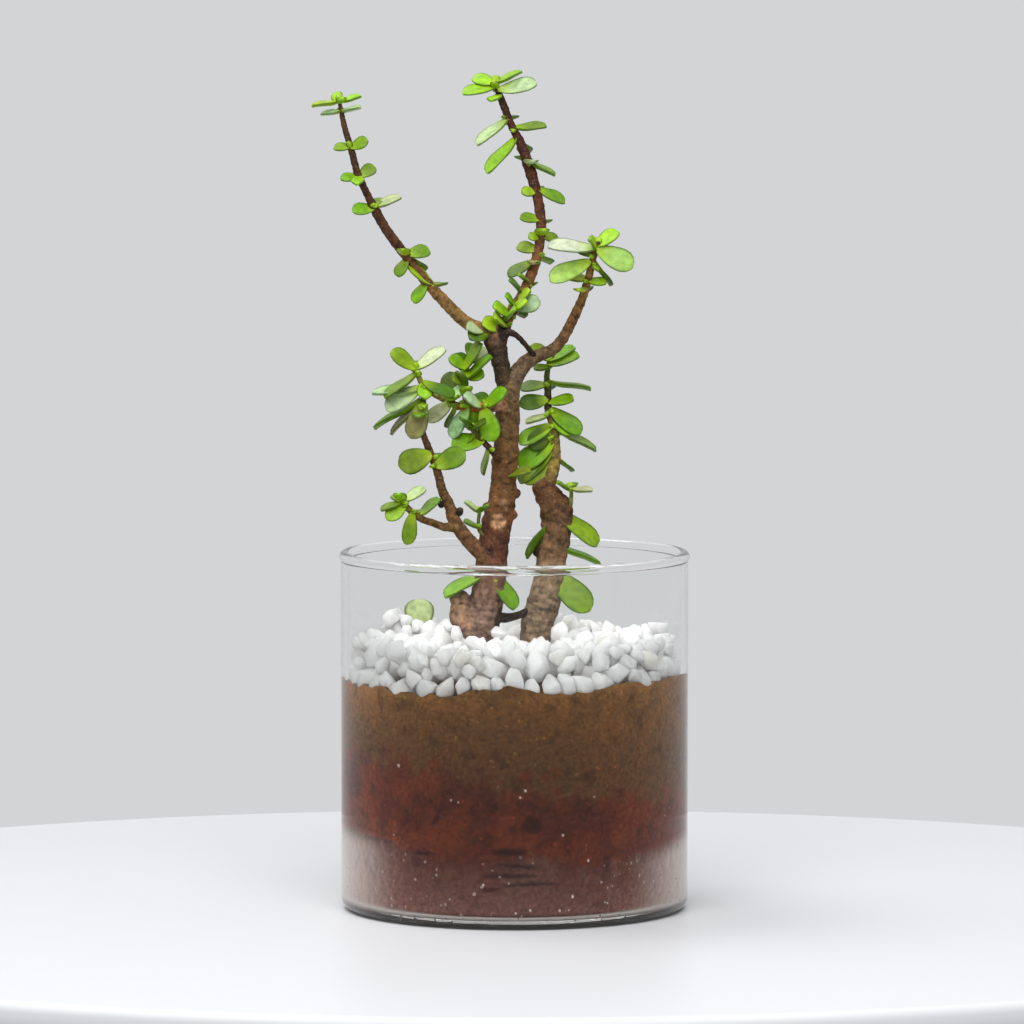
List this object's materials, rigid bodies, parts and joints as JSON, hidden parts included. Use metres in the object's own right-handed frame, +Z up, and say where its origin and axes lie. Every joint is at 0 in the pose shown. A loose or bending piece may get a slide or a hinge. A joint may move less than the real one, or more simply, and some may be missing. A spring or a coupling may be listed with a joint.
{
  "type": "jade bonsai",
  "caption": "Small jade bonsai with two bare trunks and leafy stems, planted in layered soil under white marble chips in a clear glass cylinder.",
  "frame": {"origin": "middle of the glass cylinder's underside, on the surface that it stands on", "axes": "+Z up; +X to the right and +Y to the back, seen from the side with the burr on the left trunk's foot at the left"},
  "size_m": [0.1584, 0.1514, 0.3608],
  "materials": {
    "glass": "clear, polished",
    "bottom_soil": "damp mauve-brown soil, crumbly",
    "middle_soil": "dark red-brown soil, crumbly",
    "top_soil": "olive-brown soil, crumbly",
    "marble": "broken white marble, matte with a slight sparkle",
    "bark": "thin ringed bark, matte",
    "leaf": "fleshy leaf with a waxy sheen"
  },
  "bodies": {
    "root": {"glass_cylinder": "glass", "bottom_soil_layer": "bottom_soil", "middle_soil_layer": "middle_soil", "top_soil_layer": "top_soil", "marble_chips": "marble", "left_trunk": "bark", "right_trunk": "bark", "top_left_stem": "leaf", "tall_central_stem": "leaf", "upper_right_stem": "leaf", "left_middle_branch": "leaf", "low_left_branch": "leaf", "low_left_twig": "leaf", "left_trunk_twig": "leaf", "left_trunk_shoot": "leaf", "right_tall_stem": "leaf", "right_trunk_shoot": "leaf", "fallen_leaf": "leaf"}
  },
  "joints": []
}
